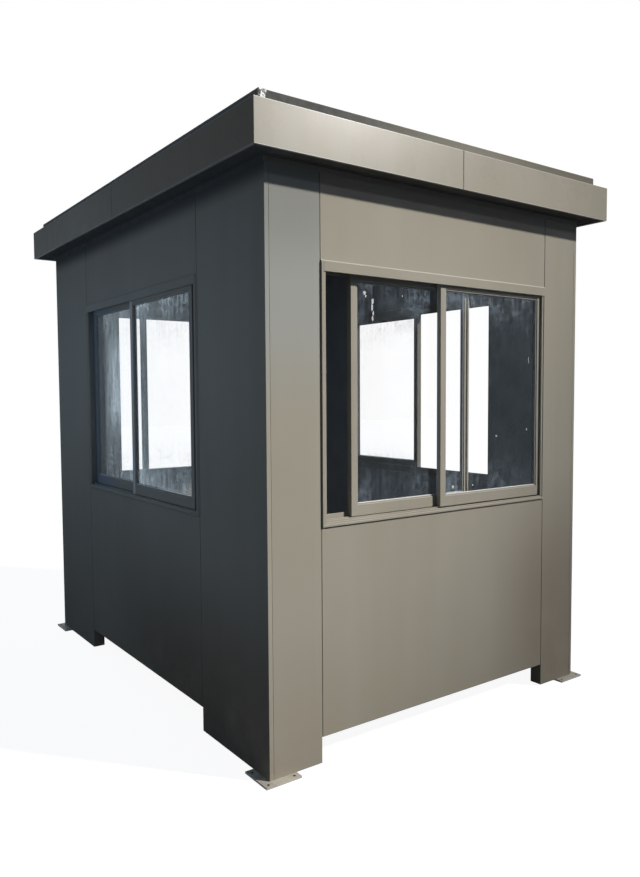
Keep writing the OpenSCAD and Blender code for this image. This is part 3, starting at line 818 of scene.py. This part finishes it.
def add_splash(bm, centre, half_w, half_h, normal):
    """A thin, ragged blob on a pane, turned to the normal."""
    points = 18
    thick = 0.0006
    top_reach = 0.8
    raggedness = 0.35
    wobble = 2.3
    variety = 40
    rims = []
    for reach, height in ((1.0, 0.0), (top_reach, thick)):
        rim = []
        for i in range(points):
            angle = 2 * math.pi * i / points
            turn = Vector((math.cos(angle), math.sin(angle), centre.z))
            ragged = 1 + raggedness * noise.noise(turn * wobble + centre * variety)
            flat = X * (math.cos(angle) * half_w) + Z * (math.sin(angle) * half_h)
            rim.append(bm.verts.new(centre + flat * (reach * ragged) + normal * height))
        rims.append(rim)
    for i in range(points):
        k = (i + 1) % points
        bm.faces.new((rims[0][i], rims[0][k], rims[1][k], rims[1][i]))
    bm.faces.new(rims[1])
    bm.faces.new(rims[0])


def splashes(material):
    """Dried splashes and one run on the outside of the front panes: place along X, height, half sizes."""
    marks = {"front_inner_sash": [(-0.411, 1.832, 0.008, 0.008), (-0.405, 1.820, 0.004, 0.005),
                                  (-0.369, 1.802, 0.006, 0.011), (-0.372, 1.778, 0.005, 0.016),
                                  (-0.366, 1.755, 0.004, 0.010), (-0.370, 1.733, 0.005, 0.009),
                                  (-0.210, 1.834, 0.003, 0.003)],
             "front_outer_sash": [(0.063, 1.024, 0.008, 0.007), (0.188, 1.024, 0.004, 0.004),
                                  (0.343, 1.237, 0.005, 0.004), (0.554, 1.261, 0.003, 0.006),
                                  (0.565, 1.588, 0.002, 0.016)]}
    bm = bmesh.new()
    for sash, places in marks.items():
        low, _ = pane_box(sash)
        for x, z, half_w, half_h in places:
            add_splash(bm, Vector((x, low.y, z)), half_w, half_h, -Y)
    new_piece("front_pane_splashes", bm, material)


# CAD nodes: finishes and softened edges

def soften(piece, width, segments=2):
    """Welds a node's split corners and rounds its edges slightly."""
    weld = piece.modifiers.new("weld", "WELD")
    weld.merge_threshold = WELD
    bevel = piece.modifiers.new("edges", "BEVEL")
    bevel.width = width
    bevel.segments = segments
    bevel.limit_method = "ANGLE"
    bevel.angle_limit = math.radians(SHARP_ANGLE)


def dress(materials):
    """Gives every node its finish, by its slot or by the first word of its name, and soft edges."""
    slots = {row["node"]: row["material_slot"] for row in frame["record"]["subparts"]}
    for name, piece in NODES.items():
        slot = slots[name]
        special = name.split("_")[0]
        piece.data.materials.clear()
        piece.data.materials.append(materials.get(special, materials[slot]))
        if special == "fascia":
            soften(piece, FASCIA_EDGE, segments=3)
        elif slot in EDGES:
            soften(piece, EDGES[slot])


# Stage

def seen(tree):
    """1 for rays that look at the stage: straight, in a mirror or through glass."""
    rays = tree.nodes.new("ShaderNodeLightPath")
    result = rays.outputs["Is Camera Ray"]
    for name in ("Is Glossy Ray", "Is Transmission Ray"):
        either = tree.nodes.new("ShaderNodeMath")
        either.operation = "MAXIMUM"
        tree.links.new(result, either.inputs[0])
        tree.links.new(rays.outputs[name], either.inputs[1])
        result = either.outputs[0]
    return result


def mixed(tree, factor, a, b):
    """Shader that goes from a to b by a factor."""
    mix = tree.nodes.new("ShaderNodeMixShader")
    tree.links.new(factor, mix.inputs[0])
    tree.links.new(a, mix.inputs[1])
    tree.links.new(b, mix.inputs[2])
    return mix.outputs[0]


def sky():
    """White to the eye, in mirrors and through glass; a dim blue sky for everything else."""
    world = bpy.data.worlds.new("sky")
    bpy.context.scene.world = world
    world.use_nodes = True
    tree = world.node_tree
    tree.nodes.clear()
    shades = []
    for colour, strength in ((SKY_COLOUR, SKY_STRENGTH), ((1.0, 1.0, 1.0), 1.0)):
        shade = tree.nodes.new("ShaderNodeBackground")
        shade.inputs["Color"].default_value = (*colour, 1.0)
        shade.inputs["Strength"].default_value = strength
        shades.append(shade.outputs[0])
    out = tree.nodes.new("ShaderNodeOutputWorld")
    tree.links.new(mixed(tree, seen(tree), *shades), out.inputs["Surface"])


def floor():
    """Floor that is white to the eye, keeps a soft shadow and throws little light back."""
    half = FLOOR_SIZE / 2
    mesh = bpy.data.meshes.new("floor")
    corners = [(-half, -half, 0), (half, -half, 0), (half, half, 0), (-half, half, 0)]
    mesh.from_pydata(corners, [], [(0, 1, 2, 3)])
    ground = bpy.data.objects.new("floor", mesh)
    bpy.context.scene.collection.objects.link(ground)
    material = bpy.data.materials.new("floor")
    material.use_nodes = True
    tree = material.node_tree
    tree.nodes.remove(tree.nodes["Principled BSDF"])
    shades = []
    for colour in (FLOOR_BOUNCE, FLOOR_TONE):
        shade = tree.nodes.new("ShaderNodeBsdfDiffuse")
        shade.inputs["Color"].default_value = (*colour, 1.0)
        shades.append(shade.outputs[0])
    glow = tree.nodes.new("ShaderNodeEmission")
    glow.inputs["Color"].default_value = (1.0, 1.0, 1.0, 1.0)
    glow.inputs["Strength"].default_value = FLOOR_GLOW
    pale = tree.nodes.new("ShaderNodeAddShader")
    tree.links.new(shades[1], pale.inputs[0])
    tree.links.new(glow.outputs[0], pale.inputs[1])
    surface = mixed(tree, seen(tree), shades[0], pale.outputs[0])
    tree.links.new(surface, tree.nodes["Material Output"].inputs["Surface"])
    mesh.materials.append(material)


def lamp(name, kind, towards, strength):
    """A lamp that stands towards a direction and shines back along it."""
    light = bpy.data.lights.new(name, kind)
    light.energy = strength
    holder = bpy.data.objects.new(name, light)
    holder.rotation_mode = "QUATERNION"
    holder.rotation_quaternion = towards.to_track_quat("Z", "Y")
    bpy.context.scene.collection.objects.link(holder)
    return holder


def lights():
    """A sun, a soft-edged key far off in line with it, haze that only adds gloss, and blue fills."""
    sun = lamp("sun", "SUN", SUN_TOWARDS, SUN_STRENGTH)
    sun.data.angle = math.radians(SUN_ANGLE)
    key = lamp("key", "SPOT", SUN_TOWARDS, KEY_STRENGTH * 4 * math.pi * KEY_DISTANCE ** 2)
    key.location = KEY_AIM + SUN_TOWARDS.normalized() * KEY_DISTANCE
    key.data.spot_size = 2 * math.atan(KEY_RADIUS / KEY_DISTANCE)
    key.data.spot_blend = KEY_BLEND
    key.data.shadow_soft_size = KEY_DISTANCE * math.tan(math.radians(SUN_ANGLE / 2))
    haze = lamp("haze", "SUN", HAZE_TOWARDS, HAZE_STRENGTH)
    haze.data.angle = math.radians(HAZE_ANGLE)
    haze.data.color = HAZE_COLOUR
    haze.visible_diffuse = False
    for name, values in (("fill_left", FILL_LEFT), ("fill_rear", FILL_REAR)):
        fill = lamp(name, "AREA", values["towards"], values["power"])
        fill.location = values["place"]
        fill.data.shape = "RECTANGLE"
        fill.data.size, fill.data.size_y = values["size"]
        fill.data.color = FILL_COLOUR
        fill.visible_camera = False
        fill.visible_glossy = False


def camera():
    """The photograph's view."""
    data = bpy.data.cameras.new("camera")
    data.sensor_width = SENSOR_MM
    data.lens = FOCAL_LENGTH_PX / FRAME_LONG_SIDE_PX * SENSOR_MM
    eye = bpy.data.objects.new("camera", data)
    turn = Matrix.Rotation(math.radians(-CAMERA_HEADING), 4, "Z")
    tilt = Matrix.Rotation(math.radians(90 + CAMERA_TILT), 4, "X")
    roll = Matrix.Rotation(math.radians(CAMERA_ROLL), 4, "Z")
    eye.matrix_world = Matrix.Translation(CAMERA_PLACE) @ turn @ tilt @ roll
    bpy.context.scene.collection.objects.link(eye)
    bpy.context.scene.camera = eye


def build():
    """Dresses the nodes, adds the scene's own pieces and sets the stage."""
    materials = {
        "cladding": cladding_material("cladding", smooth=0.60, dull=0.70, flakes=0.03),
        "fascia": cladding_material("fascia", smooth=0.26, dull=0.30, flakes=0.045),
        "window_metal": window_metal_material(),
        "glass": glass_material(),
        "base_plate": base_plate_material(),
        "dark_steel": dark_steel_material(),
        "soffit": soffit_material(),
        "floor_sheet": floor_sheet_material(),
        "lining": lining_material(),
        "roof_sheet": roof_sheet_material(),
        "hardware": hardware_material(),
    }
    dress(materials)
    rubber = rubber_material()
    for side in ("front", "left", "right"):
        window_seals(side, rubber)
    door_seals(rubber)
    soffit_trim(materials["soffit"])
    joint_filler(joint_filler_material())
    window_trim(materials["window_metal"])
    torn_corner(foil_material())
    splashes(splash_material())
    sky()
    floor()
    lights()
    camera()
    bpy.context.scene.view_settings.view_transform = "Standard"


build()
